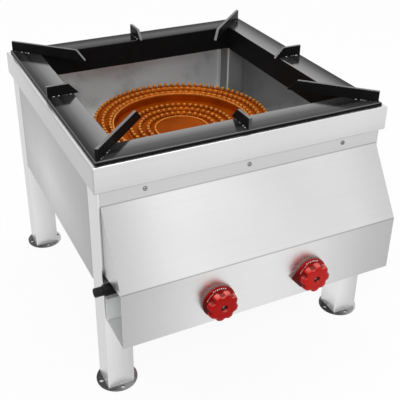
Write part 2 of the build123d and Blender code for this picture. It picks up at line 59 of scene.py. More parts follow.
# Places on the object are in metres from the centre line. Adding SHIFT takes them to the part's frame.
SHIFT = centre_line()


def corners(node):
    """Lowest and highest corner of a CAD node."""
    low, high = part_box(node)
    return low - SHIFT, high - SHIFT


def joint_place(name):
    joint = next(joint for joint in frame["joints"] if joint["name"] == name)
    return Vector(joint["pos_m"]) - SHIFT


LEG_IN, LEG_OUT = (corner.x for corner in corners("leg_front_right"))
LEG_MIDDLE = (LEG_IN + LEG_OUT) / 2
PANEL_BOTTOM = corners("panel_left")[0].z
APRON_LOW = corners("apron")[0]
BOX_LOW = corners("control_box")[0]
SUPPORT_IN, SUPPORT_OUT = (corner.x for corner in corners("support_rail_right"))
SUPPORT_TOP = corners("support_rail_right")[1].z
ARM_HALF = corners("support_arm_front")[1].x
BOX_FOLD = 0.2915      # height of the fold between the knob panel and the slope
FLANGE_FOLD = 0.4216   # and of the one between the slope and the screw flange
HANDS = ("left", "right")
KNOB_AXES = {hand: joint_place("knob_%s_turn" % hand).x for hand in HANDS}
KNOB_Z = joint_place("knob_left_turn").z
SKIRT_THICK = 0.004
SKIRT_BACK_Y = corners("knob_left")[1].y
SKIRT_FACE_Y = SKIRT_BACK_Y - SKIRT_THICK


# ---------------------------------------------------------------- materials

class Graph:
    """Short calls for building a material's nodes."""

    def __init__(self, name):
        self.material = bpy.data.materials.new(name)
        self.material.use_nodes = True
        self.tree = self.material.node_tree
        self.bsdf = self.tree.nodes["Principled BSDF"]
        coordinates = self.tree.nodes.new("ShaderNodeTexCoord")
        self.where = coordinates.outputs["Object"]
        self.facing = coordinates.outputs["Normal"]
        self.parts = {}

    def node(self, kind, **inputs):
        made = self.tree.nodes.new("ShaderNode" + kind)
        for key, value in inputs.items():
            self.put(made.inputs[key.replace("_", " ")], value)
        return made

    def put(self, socket, value):
        """Links the value to the socket, or writes it there if it is a plain number or colour."""
        if isinstance(value, bpy.types.NodeSocket):
            self.tree.links.new(value, socket)
        else:
            socket.default_value = value

    def split(self, vector, axis):
        key = (vector.name, axis)
        if key not in self.parts:
            made = self.node("SeparateXYZ", Vector=vector)
            for letter in "XYZ":
                self.parts[(vector.name, letter)] = made.outputs[letter]
        return self.parts[key]

    def along(self, axis):
        """Place along one axis from the centre line."""
        offset = SHIFT["XYZ".index(axis)]
        return self.maths("SUBTRACT", self.split(self.where, axis), offset)

    def normal(self, axis):
        return self.split(self.facing, axis)

    def absolute(self, value):
        return self.maths("ABSOLUTE", value)

    def reach(self):
        """Half the width of the square about the centre line on which a point lies."""
        return self.maths("MAXIMUM", self.absolute(self.along("X")), self.absolute(self.along("Y")))

    def diagonal(self, a, b):
        squares = self.maths("ADD", self.maths("MULTIPLY", a, a), self.maths("MULTIPLY", b, b))
        return self.maths("SQRT", squares)

    def stretched(self, scale):
        mapping = self.node("Mapping", Vector=self.where)
        mapping.inputs["Scale"].default_value = scale
        return mapping.outputs["Vector"]

    def noise(self, scale, detail=3.0, rough=0.5, stretch=None):
        vector = self.stretched(stretch) if stretch else self.where
        made = self.node("TexNoise", Vector=vector, Scale=scale, Detail=detail, Roughness=rough)
        return made.outputs["Fac"]

    def spread(self, value, low, high, to_low=0.0, to_high=1.0):
        """Carries low...high over to to_low...to_high, and holds the ends beyond."""
        made = self.node("MapRange", Value=value)
        made.inputs["From Min"].default_value = low
        made.inputs["From Max"].default_value = high
        made.inputs["To Min"].default_value = to_low
        made.inputs["To Max"].default_value = to_high
        return made.outputs["Result"]

    def vary(self, noise, low=0.0, high=1.0):
        """Number that wanders from low to high with a noise."""
        return self.spread(noise, 0.3, 0.7, low, high)

    def above(self, value, place, soft):
        """0 below the place and 1 above it, with a slope of half-width soft between."""
        return self.spread(value, place - soft, place + soft)

    def below(self, value, place, soft):
        """1 below the place and 0 above it."""
        return self.spread(value, place + soft, place - soft)

    def near(self, value, place, width):
        """1 at the place and 0 beyond width on either side."""
        gap = self.absolute(self.maths("SUBTRACT", value, place))
        return self.spread(gap, 0.0, width, 1.0, 0.0)

    def curve(self, value, *stops):
        """Smooth line through (place, tone) stops."""
        low, high = stops[0][0], stops[-1][0]
        ramp = self.node("ValToRGB", Fac=self.spread(value, low, high))
        band = ramp.color_ramp
        band.interpolation = "CARDINAL" if len(stops) > 2 else "EASE"
        while len(band.elements) < len(stops):
            band.elements.new(0.5)
        for element, (place, tone) in zip(band.elements, stops):
            element.position = (place - low) / (high - low)
            element.color = grey(tone)
        return ramp.outputs["Color"]

    def blend(self, factor, a, b):
        """Colour between a and b. The node's sockets for colours share their names with others."""
        made = self.tree.nodes.new("ShaderNodeMix")
        made.data_type = "RGBA"
        colour_a, colour_b, colour_out = made.inputs[6], made.inputs[7], made.outputs[2]
        self.put(made.inputs["Factor"], factor)
        self.put(colour_a, a)
        self.put(colour_b, b)
        return colour_out

    def mix(self, factor, a, b):
        """Number between a and b."""
        made = self.tree.nodes.new("ShaderNodeMix")
        self.put(made.inputs["Factor"], factor)
        self.put(made.inputs["A"], a)
        self.put(made.inputs["B"], b)
        return made.outputs["Result"]

    def maths(self, operation, a, b=0.0, c=0.0):
        made = self.tree.nodes.new("ShaderNodeMath")
        made.operation = operation
        self.put(made.inputs[0], a)
        self.put(made.inputs[1], b)
        self.put(made.inputs[2], c)
        return made.outputs["Value"]

    def bump(self, height, strength, distance, normal=None):
        made = self.node("Bump", Height=height, Strength=strength, Distance=distance)
        if normal is not None:
            self.put(made.inputs["Normal"], normal)
        return made.outputs["Normal"]

    def rounded(self, radius):
        made = self.tree.nodes.new("ShaderNodeBevel")
        made.samples = 4
        made.inputs["Radius"].default_value = radius
        return made.outputs["Normal"]

    def edge_mask(self, radius):
        """0 on flat faces, rising to 1 on outer and inner edges."""
        made = self.node("VectorMath")
        made.operation = "DOT_PRODUCT"
        self.put(made.inputs[0], self.rounded(radius))
        self.put(made.inputs[1], self.tree.nodes.new("ShaderNodeNewGeometry").outputs["Normal"])
        return self.spread(made.outputs["Value"], 0.995, 0.8)

    def set(self, **inputs):
        """Sets the shader's own sockets."""
        for key, value in inputs.items():
            self.put(self.bsdf.inputs[key.replace("_", " ")], value)


def grey(value):
    return (value, value, value, 1.0)


# How far a noise is squeezed along each axis to draw brush marks that run along X or Z.
STREAKS = {"x": (2, 260, 260), "z": (260, 260, 2)}


def steel(name, grain, tone, rough=0.3, metallic=None):
    """Brushed stainless sheet. tone and metallic are functions of a Graph; grain is the brush marks' axis."""
    g = Graph(name)
    lines = g.noise(1.0, 4.0, 0.6, STREAKS[grain])
    cloud = g.noise(4.5)
    level = g.maths("MULTIPLY", tone(g), g.vary(cloud, 0.965, 1.035))
    level = g.maths("MULTIPLY", level, g.vary(lines, 1.014, 0.986))
    g.set(Base_Color=level, Metallic=metallic(g) if metallic else 1.0)
    g.set(Roughness=g.spread(g.maths("ADD", lines, cloud), 0.6, 1.4, rough - 0.04, rough + 0.06))
    waves = g.bump(g.noise(7.0, 1.0), 0.12, 0.002, g.rounded(0.0007))
    g.set(Normal=g.bump(lines, 0.012, 0.0004, waves))
    return g.material


def box_inside(g):
    """1 on the faces inside the control box."""
    behind = g.above(g.along("Y"), BOX_LOW.y + 0.00095, 0.00025)
    return g.maths("MULTIPLY", behind, g.below(g.along("Z"), BOX_FOLD - 0.00125, 0.00025))


def box_tone(g):
    """Grey of the control box: knob panel, slope and screw flange. Painted reflection bands run across the
    knob panel and slope, painted shade darkens the fold lines between the faces, and the faces inside the box
    are painted lighter than their shade.
    """
    x, z = g.along("X"), g.along("Z")
    # Painted reflection: lighter and darker bands across the knob panel and the slope.
    knobs = g.curve(x, (-0.29, 0.5), (-0.16, 0.7), (-0.03, 0.8), (0.12, 0.71), (0.2, 0.58), (0.29, 0.49))
    slope = g.curve(x, (-0.29, 0.55), (-0.2, 0.76), (-0.1, 0.79), (0.05, 0.72), (0.2, 0.72), (0.29, 0.62))
    level = g.mix(g.above(z, BOX_FOLD, 0.001), knobs, slope)
    level = g.mix(g.above(z, FLANGE_FOLD + 0.00015, 0.00075), level, 0.62)
    # Painted shade along the two fold lines.
    folds = g.maths("MAXIMUM", g.near(z, BOX_FOLD, 0.0018), g.near(z, FLANGE_FOLD, 0.0016))
    level = g.maths("MULTIPLY", level, g.mix(folds, 1.0, 0.5))
    # Painted light: the faces inside the box are painted light grey in place of the shade they lie in.
    inner = g.mix(g.above(z, BOX_LOW.z + 0.003, 0.00125), 0.6, 0.8)
    return g.mix(box_inside(g), level, inner)


def box_metallic(g):
    return g.mix(box_inside(g), 1.0, 0.15)


def apron_tone(g):
    """Grey of the rim: a painted gradient, lighter towards the top of the front, painted shade on the left
    side, and a painted shadow line along the lower edge.
    """
    x, y, z = g.along("X"), g.along("Y"), g.along("Z")
    # Painted light and shade: the front lighter towards the top, the left side darker.
    front = g.curve(z, (0.453, 0.66), (0.462, 0.69), (0.49, 0.73))
    side = g.curve(y, (-0.3, 0.48), (0.05, 0.5), (0.3, 0.58))
    level = g.mix(g.below(x, APRON_LOW.x + 0.002, 0.0005), front, side)
    # Painted shadow line along the lower edge.
    return g.maths("MULTIPLY", level, g.mix(g.near(z, APRON_LOW.z, 0.0018), 1.0, 0.5))


def from_left_leg(g):
    """Place across the left legs; the right legs count as the left ones."""
    return g.maths("WRAP", g.along("X"), 0.0, -2 * LEG_MIDDLE)


def leg_inside(g):
    """1 on the legs' faces towards the chamber."""
    inner = g.maths("MINIMUM", g.absolute(g.along("X")), g.absolute(g.along("Y")))
    high = g.above(g.along("Z"), PANEL_BOTTOM - 0.001, 0.001)
    return g.maths("MULTIPLY", g.below(inner, LEG_IN + 0.001, 0.0004), high)


def leg_metallic(g):
    """1 on most of a leg, and less near the floor and on the faces towards the chamber."""
    return g.mix(leg_inside(g), g.spread(g.along("Z"), 0.0, 0.06, 0.35, 1.0), 0.35)


def leg_tone(g):
    """Grey of a leg: painted reflection across the front and side faces, painted shade on the faces towards
    the chamber, and painted highlights along the chamber's corners.
    """
    # Painted reflection: lighter at the outer edge, darker towards the inner edge, and an even grey on the
    # outer side face.
    wide = g.curve(from_left_leg(g), (-LEG_OUT, 0.8), (-0.27, 0.71), (-LEG_IN, 0.58))
    side = g.above(g.absolute(g.along("X")), LEG_OUT - 0.0005, 0.0003)
    level = g.mix(side, wide, 0.65)
    # Painted shade on the faces towards the chamber, darker on those that face along X.
    inside = g.mix(g.above(g.absolute(g.normal("X")), 0.5, 0.1), 0.27, 0.17)
    reach = g.reach()
    # Painted highlights along the chamber's corners.
    edges = g.maths("ADD", g.near(reach, LEG_IN + 0.0015, 0.003), g.near(reach, LEG_OUT - 0.0045, 0.004))
    inside = g.maths("MULTIPLY_ADD", edges, 0.45, inside)
    return g.mix(leg_inside(g), level, inside)


def cheek_tone(g):
    # Painted light and shade: lighter at the front edge, darker towards the back.
    return g.curve(g.along("Y"), (-0.377, 0.56), (-0.33, 0.51), (-0.294, 0.46))


def sheet_skin(g):
    """1 on the outer faces of the panels and 0 on the chamber's faces."""
    return g.above(g.reach(), LEG_OUT - 0.00065, 0.00025)


def wall_tone(inner):
    """Grey of a panel: outside, a painted bright reflection in the middle of each face; inside, heat stains
    over painted shade that is darkest a little below the rim and lighter near it.
    """

    def tone(g):
        x, y, z = g.along("X"), g.along("Y"), g.along("Z")
        # Painted reflection: a bright patch in the middle of the outer faces.
        across = g.maths("MAXIMUM", g.near(y, 0.03, 0.26), g.near(x, 0.0, 0.26))
        patch = g.maths("MULTIPLY", across, g.near(z, 0.31, 0.15))
        outside = g.maths("ADD", 0.385, g.maths("MULTIPLY", patch, 0.25))
        stain = g.spread(g.noise(13.0, 6.0, 0.65), 0.52, 0.76, 1.0, 0.6)
        # Painted shade inside: darkest a little below the rim, lighter at the rim.
        inside = g.curve(z, (0.3, inner), (0.39, inner * 0.88), (0.43, inner * 1.3), (0.45, inner * 1.4))
        return g.mix(sheet_skin(g), g.maths("MULTIPLY", inside, stain), outside)

    return tone


def wall_metallic(g):
    return g.mix(sheet_skin(g), 0.3, 1.0)


def foot_tone(g):
    """Grey of a foot disc: a painted reflection that is dark on its left, and painted shade on its rim and in
    its holes.
    """
    # Painted reflection: dark on the left, lighter towards the right.
    level = g.curve(from_left_leg(g), (-0.307, 0.1), (-0.28, 0.16), (-0.262, 0.42), (-0.225, 0.5))
    # Painted shade on the faces that do not face up: the rim and the walls of the holes.
    return g.mix(g.spread(g.normal("Z"), 0.3, 0.1), level, 0.05)


def support_band(g):
    """Painted reflection on the pan support's level faces: across each rail, lighter towards the inner edge,
    the rear rail darker than the others, and a lighter painted grey on the arms' tops.
    """
    reach = g.reach()
    front = g.curve(reach, (SUPPORT_IN, 0.34), (0.262, 0.155), (0.278, 0.08), (SUPPORT_OUT, 0.045))
    side = g.curve(reach, (SUPPORT_IN, 0.34), (0.262, 0.2), (0.278, 0.06), (SUPPORT_OUT, 0.01))
    rear_stops = ((SUPPORT_IN, 0.03), (0.25, 0.07), (0.263, 0.09), (0.277, 0.012), (SUPPORT_OUT, 0.0))
    rear = g.curve(reach, *rear_stops)
    past_mitre = g.maths("SUBTRACT", g.absolute(g.along("Y")), g.absolute(g.along("X")))
    across_y = g.mix(g.above(g.along("Y"), 0.0, 0.01), front, rear)
    rails = g.mix(g.above(past_mitre, 0.0, 0.01), side, across_y)
    # Painted highlight: lighter grey on the arms' tops.
    return g.mix(g.above(g.along("Z"), SUPPORT_TOP + 0.0025, 0.0015), rails, 0.22)


def enamel():
    """Glossy black enamel whose level faces mirror the sky and carry the painted reflection from
    support_band, with dust, rubbed edges that are also lightened as a painted highlight, and a painted
    highlight line along the rails' outer top bend.
    """
    g = Graph("black_enamel_look")
    z, reach = g.along("Z"), g.reach()
    level = g.spread(g.normal("Z"), 0.5, 0.66)
    flank = g.maths("ADD", g.spread(g.noise(45.0, 8.0, 0.7), 0.5, 0.8, 0.0, 0.004), 0.008)
    # Edges lightened: partly rubbed enamel, partly a painted highlight.
    edge_wear_and_highlight = g.maths("MULTIPLY", g.edge_mask(0.0009), g.spread(g.noise(120.0, 4.0), 0.35, 0.65, 0.0, 0.07))
    edge_wear_and_highlight = g.maths("MULTIPLY", edge_wear_and_highlight, g.spread(z, 0.47, 0.5))
    # Level faces take the painted reflection from support_band.
    tone = g.maths("ADD", g.mix(level, flank, support_band(g)), edge_wear_and_highlight)
    # Painted highlight line along the rails' outer top bend.
    lip_highlight = g.near(reach, SUPPORT_OUT - 0.0012, 0.0014)
    lip_highlight = g.maths("MULTIPLY", lip_highlight, g.above(z, SUPPORT_TOP - 0.0015, 0.001))
    tone = g.maths("MULTIPLY_ADD", lip_highlight, 0.16, tone)
    mirror = g.maths("MULTIPLY", level, g.spread(reach, 0.268, 0.288, 0.92, 0.3))
    g.set(Base_Color=tone, Metallic=mirror, Specular_IOR_Level=g.mix(level, 0.02, 0.06))
    g.set(Roughness=g.mix(level, 0.3, g.vary(g.noise(9.0, 4.0), 0.09, 0.15)), Specular_Tint=grey(0.7))
    g.set(Normal=g.bump(g.noise(420.0, 2.0), 0.05, 0.0004, g.rounded(0.0008)))
    return g.material


def nub_top(g):
    """1 on the tops of the nubs, which lie along a slanting line on either ring."""
    radius = g.diagonal(g.along("X"), g.along("Y"))
    lines = []
    for node, slope in (("burner_cap_inner", 0.108), ("burner_cap_outer", 0.22)):
        edge = corners(node)[1]
        lines.append(g.maths("MULTIPLY_ADD", g.maths("SUBTRACT", radius, edge.x), slope, edge.z))
    between_rings, disc_edge = 0.1255, 0.056
    line = g.mix(g.above(radius, between_rings, 0.0005), *lines)
    height = g.maths("SUBTRACT", g.along("Z"), line)
    return g.maths("MULTIPLY", g.spread(height, -0.005, -0.0006), g.above(radius, disc_edge, 0.0005))


def cast_burner():
    """Cast ring burner with a warm orange-brown coat and a painted highlight on the nubs and rims."""
    g = Graph("cast_burner_look")
    cloud = g.noise(20.0, 5.0)
    grit = g.noise(380.0, 5.0, 0.65)
    deep = g.blend(g.vary(cloud), (0.26, 0.044, 0.0008, 1), (0.4, 0.076, 0.0012, 1))
    # Painted highlight colour for the tops of the nubs and the rims.
    bright = g.blend(g.spread(grit, 0.4, 0.75), (0.64, 0.2, 0.01, 1), (1.0, 0.52, 0.18, 1))
    colour = g.blend(nub_top(g), deep, bright)
    soot = g.spread(g.noise(60.0, 6.0, 0.7), 0.54, 0.78, 0.0, 0.3)
    colour = g.blend(soot, colour, (0.14, 0.026, 0.001, 1))
    g.set(Base_Color=colour, Metallic=0.5, Specular_IOR_Level=0.1, Specular_Tint=(1.0, 0.55, 0.15, 1))
    g.set(Roughness=g.vary(grit, 0.32, 0.46))
    g.set(Normal=g.bump(grit, 0.2, 0.0008, g.rounded(0.0014)))
    return g.material


def rough_iron():
    """Grey cast iron of the mixing tubes."""
    g = Graph("grey_iron_look")
    grit = g.noise(260.0, 6.0, 0.65)
    g.set(Base_Color=g.blend(g.vary(g.noise(18.0)), (0.09, 0.088, 0.085, 1), (0.16, 0.15, 0.14, 1)))
    g.set(Roughness=g.vary(grit, 0.55, 0.75), Metallic=0.4)
    g.set(Normal=g.bump(grit, 0.4, 0.001, g.rounded(0.001)))
    return g.material


def black_pipe():
    """Black gas pipe with a rough, patchy coat."""
    g = Graph("black_pipe_look")
    grit = g.noise(300.0, 4.0)
    colour = g.blend(g.spread(g.noise(30.0, 5.0), 0.4, 0.7), grey(0.006), (0.02, 0.019, 0.018, 1))
    g.set(Base_Color=colour, Specular_IOR_Level=0.2)
    g.set(Roughness=g.vary(grit, 0.32, 0.5))
    g.set(Normal=g.bump(grit, 0.12, 0.0005, g.rounded(0.0006)))
    return g.material


def off_knob_axis(g):
    """Distances from the nearer knob's axis: to the right and upwards."""
    x = g.along("X")
    halfway = (KNOB_AXES["left"] + KNOB_AXES["right"]) / 2
    half_gap = (KNOB_AXES["right"] - KNOB_AXES["left"]) / 2
    outwards = g.maths("SUBTRACT", g.absolute(g.maths("SUBTRACT", x, halfway)), half_gap)
    right = g.maths("MULTIPLY", outwards, g.maths("SIGN", x))
    return right, g.maths("SUBTRACT", g.along("Z"), KNOB_Z)


def red_plastic():
    """Glossy red knob moulding: painted highlights on the wheel's edges and up-facing lobes, painted shade in
    the flutes and on the skirt's lower left, the right knob painted lighter than the left, and a back painted
    pale to lighten the shaded gap behind the skirt.
    """
    g = Graph("red_knob_look")
    cloud = g.noise(30.0, 4.0)
    fine = g.noise(600.0)
    right, up = off_knob_axis(g)
    depth = g.along("Y")
    skirt = g.above(depth, SKIRT_FACE_Y - 0.0025, 0.001)
    # Painted light: the right knob is a lighter copy of the left.
    right_knob = g.above(g.along("X"), 0.0, 0.05)
    tone = g.blend(right_knob, (0.38, 0.003, 0.0015, 1), (0.5, 0.012, 0.009, 1))
    colour = g.blend(g.vary(cloud, 0.0, 0.3), tone, (0.26, 0.002, 0.001, 1))
    # Painted highlight along the wheel's edges.
    edge = g.maths("MULTIPLY", g.edge_mask(0.0014), g.vary(fine, 0.25, 0.5))
    colour = g.blend(g.mix(skirt, edge, 0.0), colour, (0.8, 0.12, 0.1, 1))
    # Painted highlight on the faces that look up.
    painted_top_highlight = g.maths("MULTIPLY", g.spread(g.normal("Z"), 0.45, 0.9), g.spread(cloud, 0.35, 0.6, 0.15, 0.7))
    colour = g.blend(g.mix(skirt, painted_top_highlight, 0.0), colour, (0.95, 0.22, 0.18, 1))
    side_of_wheel = g.above(depth, SKIRT_FACE_Y - 0.0185, 0.0015)
    wheel = g.maths("MULTIPLY", side_of_wheel, g.mix(skirt, 1.0, 0.0))
    # Painted shade in the flutes of the wheel.
    flutes = g.maths("MULTIPLY", wheel, g.spread(g.diagonal(right, up), 0.0298, 0.027, 0.0, 0.75))
    colour = g.blend(flutes, colour, (0.11, 0.002, 0.0008, 1))
    # Painted shade on the skirt, darker towards its lower left.
    lower_left = g.maths("MULTIPLY_ADD", up, -0.5, g.maths("MULTIPLY", right, -1.0))
    shade = g.maths("MULTIPLY", skirt, g.spread(lower_left, 0.012, 0.03, 0.25, 0.88))
    colour = g.blend(shade, colour, (0.05, 0.001, 0.001, 1))
    # The back is painted pale to lighten the shaded gap between the skirt and the panel.
    back = g.above(depth, SKIRT_BACK_Y - 0.0003, 0.0002)
    colour = g.blend(back, colour, (0.5, 0.36, 0.33, 1))
    g.set(Base_Color=colour, Specular_IOR_Level=0.1, Metallic=0.15)
    g.set(Roughness=g.vary(fine, 0.2, 0.28))
    g.set(Normal=g.bump(fine, 0.04, 0.0004, g.rounded(0.0012)))
    return g.material


def metal(name, low, high, rough):
    """Plain machined or coated metal whose colour wanders between two tones."""
    g = Graph(name)
    fine = g.noise(500.0)
    g.set(Base_Color=g.blend(g.vary(g.noise(35.0, 4.0)), low, high), Metallic=1.0)
    g.set(Roughness=g.vary(fine, rough - 0.05, rough + 0.08))
    g.set(Normal=g.bump(fine, 0.06, 0.0004, g.rounded(0.0004)))
    return g.material


def hole_screw():
    """Screw at the bottom of a knob's hole, painted dark as shade, with a painted highlight at the middle of
    its head.
    """
    g = Graph("knob_screw_look")
    fine = g.noise(500.0)
    # Painted shade over the head, with a painted highlight at its middle.
    level = g.spread(g.diagonal(*off_knob_axis(g)), 0.0019, 0.0011, 0.035, 0.5)
    g.set(Base_Color=g.maths("MULTIPLY", level, g.vary(fine, 0.85, 1.15)), Metallic=0.9)
    g.set(Roughness=g.vary(fine, 0.25, 0.4))
    g.set(Normal=g.bump(fine, 0.06, 0.0004, g.rounded(0.0004)))
    return g.material


def white_print():
    """Thick off-white print on the knobs' skirts."""
    g = Graph("white_print_look")
    fine = g.noise(900.0)
    g.set(Base_Color=g.blend(g.spread(fine, 0.35, 0.65), (0.8, 0.7, 0.68, 1), (0.98, 0.95, 0.94, 1)))
    g.set(Roughness=g.vary(fine, 0.45, 0.6))
    g.set(Normal=g.bump(fine, 0.1, 0.0001))
    return g.material


def weld_metal():
    """Bare ripples of weld metal, half covered by black enamel."""
    g = Graph("arm_weld_look")
    patch = g.spread(g.noise(190.0, 4.0), 0.5, 0.6)
    g.set(Base_Color=g.mix(patch, 0.01, 0.65), Metallic=g.mix(patch, 0.0, 0.8))
    g.set(Roughness=g.vary(g.noise(400.0), 0.3, 0.5))
    g.set(Normal=g.bump(g.noise(700.0), 0.2, 0.0004))
    return g.material


def look_table():
    """Materials by the start of a CAD node's name; the first match counts."""
    iron, pipe, red, black = rough_iron(), black_pipe(), red_plastic(), enamel()
    brass = metal("brass_look", (0.48, 0.31, 0.1, 1), (0.62, 0.43, 0.17, 1), 0.26)
    aluminium = metal("aluminium_look", grey(0.6), grey(0.72), 0.32)
    zinc = metal("zinc_look", grey(0.36), (0.48, 0.48, 0.46, 1), 0.34)
    screw = metal("screw_look", grey(0.2), grey(0.32), 0.25)
    return (
        ("support_", black), ("burner_c", cast_burner()), ("mixing_tube", iron), ("manifold_bracket", zinc),
        ("manifold_", pipe), ("inlet_", pipe), ("knob_screw", hole_screw()), ("knob_", red), ("cock_", brass),
        ("jet_", brass), ("spindle_", brass), ("supply_tube", aluminium), ("burner_", zinc),
        ("air_shutter", zinc), ("panel_screws", screw),
        ("foot_", steel("steel_foot", "x", foot_tone, 0.34)),
        ("leg_", steel("steel_leg", "z", leg_tone, metallic=leg_metallic)),
        # The right panel's inside is painted darker than the others, as shade.
        ("panel_right", steel("steel_panel_right_shaded", "z", wall_tone(0.22), 0.36, wall_metallic)),
        ("panel_", steel("steel_panel", "z", wall_tone(0.64), 0.36, wall_metallic)),
        ("control_box", steel("steel_control_box", "x", box_tone, metallic=box_metallic)),
        ("box_cheek", steel("steel_cheek", "z", cheek_tone)),
        ("apron", steel("steel_apron", "x", apron_tone)),
    )


LOOKS = look_table()


def look_of(node):
    for start, material in LOOKS:
        if node.startswith(start):
            return material
    raise KeyError(node)


for name, node in frame["nodes"].items():
    node.data.materials.clear()
    node.data.materials.append(look_of(name))


# ------------------------------------------------------------------- pieces

def finish_piece(name, mesh, material, body):
    """Turns the bmesh into a piece that rides on a body."""
    data = bpy.data.meshes.new(name)
    mesh.to_mesh(data)
    mesh.free()
    obj = bpy.data.objects.new(name, data)
    scene.collection.objects.link(obj)
    data.materials.append(material)
    for face in data.polygons:
        face.use_smooth = True
    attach(obj, body)
    return obj


def ring_of(mesh, points):
    return [mesh.verts.new(point) for point in points]


def band_of_faces(mesh, a, b):
    """Faces between two closed rings of as many points."""
    count = len(a)
    for k in range(count):
        mesh.faces.new((a[k], a[(k + 1) % count], b[(k + 1) % count], b[k]))


# Knob sizes are in millimetres and degrees. A ring is its radius at a lobe, the depth of the flutes there
# and its distance in front of the skirt's face, from the bore to the wheel's root in the skirt.
KNOB_BORE = 4.2
KNOB_RINGS = (
    (KNOB_BORE, 0, 14.0), (7.0, 0, 14.0), (7.0, 0, 21.1), (7.5, 0, 21.6), (9.3, 0, 21.7), (10.2, 0, 21.0),
    (11.2, 0, 21.0), (16.0, 0.1, 21.4), (21.0, 0.6, 21.3), (25.0, 2.2, 20.8), (27.6, 3.6, 19.9),
    (29.0, 4.4, 18.4), (29.9, 4.8, 16.0), (31.0, 5.2, 11.0), (30.2, 4.8, 8.6), (27.5, 3.4, 6.3),
    (24.0, 1.6, 4.2), (21.5, 0.4, 2.0), (21.0, 0, 0.0),
)
SKIRT_RADIUS = 33.0
SKIRT_BACK = -1000 * SKIRT_THICK
SKIRT_RINGS = ((31.5, 0.0), (32.6, -0.3), (SKIRT_RADIUS, -1.2), (SKIRT_RADIUS, SKIRT_BACK))
TAB_TIP = 42.5
TAB_ANGLES = {"left": -44, "right": 181}
LOBE_ANGLES = {"left": 28, "right": -4}
LOBE_STEP = 45.0
FLUTE_HALF = 17.0
KNOB_SIDES = 180


def knob_point(hand, radius, angle, front):
    """Point of a knob in the part's frame; the angle is seen from the front."""
    across, up = radius * cos(radians(angle)), radius * sin(radians(angle))
    x, y, z = KNOB_AXES[hand] + across / 1000, SKIRT_FACE_Y - front / 1000, KNOB_Z + up / 1000
    return Vector((x, y, z)) + SHIFT


def flute(angle):
    """1 in the middle of a flute and 0 across the lobe beside it."""
    gap = abs(angle % LOBE_STEP - LOBE_STEP / 2)
    t = min(1.0, gap / FLUTE_HALF)
    return 1.0 - t * t * (3.0 - 2.0 * t)


def tab_reach(angle, radius):
    """Radius of the skirt's outline, with a pointed tab at 0 degrees whose sides touch the round part."""
    touch = acos(SKIRT_RADIUS / TAB_TIP)
    turn = radians(abs((angle + 180.0) % 360.0 - 180.0))
    return radius / cos(touch - turn) if turn < touch else radius


def knob_mesh(hand):
    """One closed skin: bore, domed face, fluted side, waist, skirt with its tab, and back."""
    mesh = bmesh.new()
    tab, lobe = TAB_ANGLES[hand], LOBE_ANGLES[hand]
    turns = [tab + k * 360 / KNOB_SIDES for k in range(KNOB_SIDES)]

    def ring(radii, front):
        return ring_of(mesh, [knob_point(hand, r, a, front) for r, a in zip(radii, turns)])

    rings = []
    for radius, depth, front in KNOB_RINGS:
        rings.append(ring([radius - depth * flute(a - lobe) for a in turns], front))
    for radius, front in SKIRT_RINGS:
        rings.append(ring([tab_reach(a - tab, radius) for a in turns], front))
    rings.append(ring([KNOB_BORE] * KNOB_SIDES, SKIRT_BACK))
    for a, b in zip(rings, rings[1:] + rings[:1]):
        band_of_faces(mesh, a, b)
    bmesh.ops.recalc_face_normals(mesh, faces=mesh.faces)
    return mesh


def fluted_knob(hand):
    """Knob with deep flutes and a domed face, for the CAD node of the same hand."""
    material = look_of("knob_" + hand)
    piece = finish_piece("fluted_knob_" + hand, knob_mesh(hand), material, "knob_%s_set" % hand)
    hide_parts("knob_" + hand)


def skirt_mark(mesh, hand, r0, r1, start, end, steps):
    """Thin raised print on a knob's skirt, between two radii and two angles."""
    section = ((r0, -0.1), (r0, 0.25), (r1, 0.25), (r1, -0.1))
    rows = []
    for k in range(steps + 1):
        angle = start + (end - start) * k / steps
        rows.append(ring_of(mesh, [knob_point(hand, r, angle, front) for r, front in section]))
    for a, b in zip(rows, rows[1:]):
        band_of_faces(mesh, a, b)
    mesh.faces.new(rows[0])
    mesh.faces.new(list(reversed(rows[-1])))


def knob_marks(hand, material):
    """Scale on the skirt: a row of ticks and a thin arc with a dot at its end."""
    mesh = bmesh.new()
    centre, ticks, tick_step = 91, 7, 8.0
    for k in range(ticks):
        angle = centre + tick_step * (k - ticks // 2)
        inner, half_width = (27.6, 0.8) if k % 2 else (27.2, 1.3)
        half = degrees(half_width / 29.0)
        skirt_mark(mesh, hand, inner, 30.4, angle - half, angle + half, 2)
    skirt_mark(mesh, hand, 25.7, 26.2, centre + 26, centre + 64, 30)
    skirt_mark(mesh, hand, 25.4, 26.9, centre + 65, centre + 70, 3)
    bmesh.ops.recalc_face_normals(mesh, faces=mesh.faces)
    finish_piece("knob_marks_" + hand, mesh, material, "knob_%s_set" % hand)


def bead(mesh, start, end, radius, rng):
    """Run of overlapping weld ripples from start to end."""
    count = max(2, round((end - start).length / (radius * 0.9)))
    for k in range(count + 1):
        scatter = Vector((rng.uniform(-1, 1), rng.uniform(-1, 1), 0)) * radius * 0.12
        ripple = bmesh.ops.create_icosphere(mesh, subdivisions=2, radius=radius * rng.uniform(0.85, 1.15))
        place = Matrix.Translation(start.lerp(end, k / count) + scatter)
        squeeze = Matrix.Diagonal((1.0, 1.0, 0.75, 1.0))
        bmesh.ops.transform(mesh, matrix=place @ squeeze, verts=ripple["verts"])


# Distances from the centre line at which welds start, on the short arms in the middle of each side and on the
# long arms at the corners.
SHORT_ARM_WELDS = (0.243, 0.252, 0.268, 0.277)
LONG_ARM_WELDS = (0.362, 0.371, 0.379, 0.39, 0.397)


